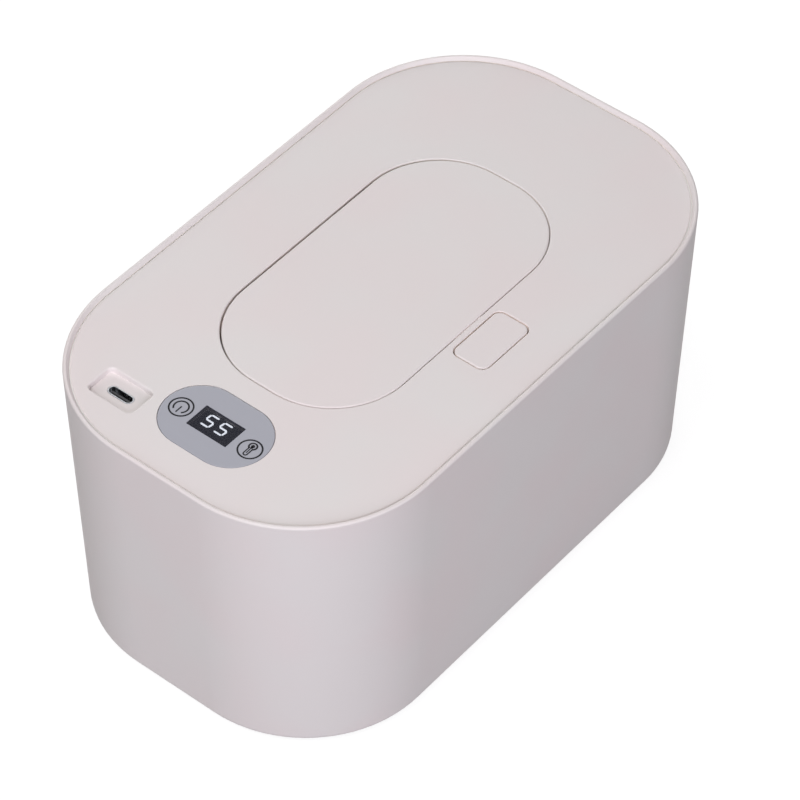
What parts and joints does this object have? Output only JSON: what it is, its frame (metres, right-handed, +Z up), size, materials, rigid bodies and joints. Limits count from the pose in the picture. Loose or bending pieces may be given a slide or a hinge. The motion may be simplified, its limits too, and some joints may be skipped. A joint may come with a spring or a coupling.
{
  "type": "baby wipe warmer",
  "caption": "Rounded box that keeps wipes warm: lift-off heated lid with display, touch keys and USB port, a hinged dispensing flap and a push button that frees it.",
  "frame": {"origin": "centre of the rest plane, under the four feet", "axes": "+X along the length, with the controls at -X; +Y to the back, where the flap's hinge is; +Z up"},
  "size_m": [0.2, 0.12, 0.096],
  "materials": {
    "casing_plastic": "fine satin moulded ABS, warm white",
    "button_plastic": "fine satin moulded ABS, warm white",
    "liner_plastic": "smooth moulded polypropylene, white",
    "foam": "closed-cell polyethylene foam",
    "felt": "needled insulating felt",
    "foot_rubber": "matt rubber",
    "silicone": "translucent white silicone",
    "steel": "plain bright steel",
    "aluminium": "brushed sheet",
    "heater_film": "amber polyimide film",
    "black_plastic": "moulded black resin",
    "lead_insulation": "extruded wire insulation",
    "circuit_board": "green solder mask",
    "display_light": "lit white light bars",
    "panel_plastic": "cool grey satin overlay",
    "window_glass": "smoked acrylic"
  },
  "bodies": {
    "base": {"outer_casing": "casing_plastic", "inner_bin": "liner_plastic", "insulation_sleeve": "foam", "floor_insulation": "foam", "rubber_feet": "foot_rubber"},
    "lid": {"lid_top_cover": "casing_plastic", "lid_inner_cover": "liner_plastic", "lid_gasket": "silicone", "lid_screws": "steel", "dispensing_insert": "silicone", "heating_plate": "aluminium", "heater_film": "heater_film", "heater_felt": "felt", "plate_screws": "steel", "thermistor": "steel", "thermal_cutoff": "black_plastic", "sensor_leads": "lead_insulation", "heater_leads": "lead_insulation", "main_board": "circuit_board", "controller_chip": "black_plastic", "buzzer": "black_plastic", "board_components": "black_plastic", "board_screws": "steel", "display_module": "black_plastic", "display_segments": "display_light", "touch_springs": "steel", "usb_board": "circuit_board", "usb_socket_shell": "steel", "usb_socket_tongue": "black_plastic", "usb_leads": "lead_insulation", "control_panel": "panel_plastic", "display_window": "window_glass", "hinge_pins": "steel", "hinge_spring": "steel", "latch_springs": "steel"},
    "flap": {"flap_cover": "casing_plastic", "flap_gasket": "silicone"},
    "button": {"latch_button": "button_plastic"}
  },
  "joints": [
    {"name": "lid_lift", "type": "slide", "parent": "base", "child": "lid", "axis": [0, 0, 1], "range_m": [0, 0.06]},
    {"name": "flap_hinge", "type": "hinge", "parent": "lid", "child": "flap", "pos_m": [0, 0.03465, 0.092], "axis": [-1, 0, 0], "range_deg": [0, 100]},
    {"name": "button_press", "type": "slide", "parent": "lid", "child": "button", "axis": [0, 0, -1], "range_m": [0, 0.002], "stiffness_N_per_m": 300, "springref_m": -0.002, "deforming": ["latch_springs"]}
  ]
}
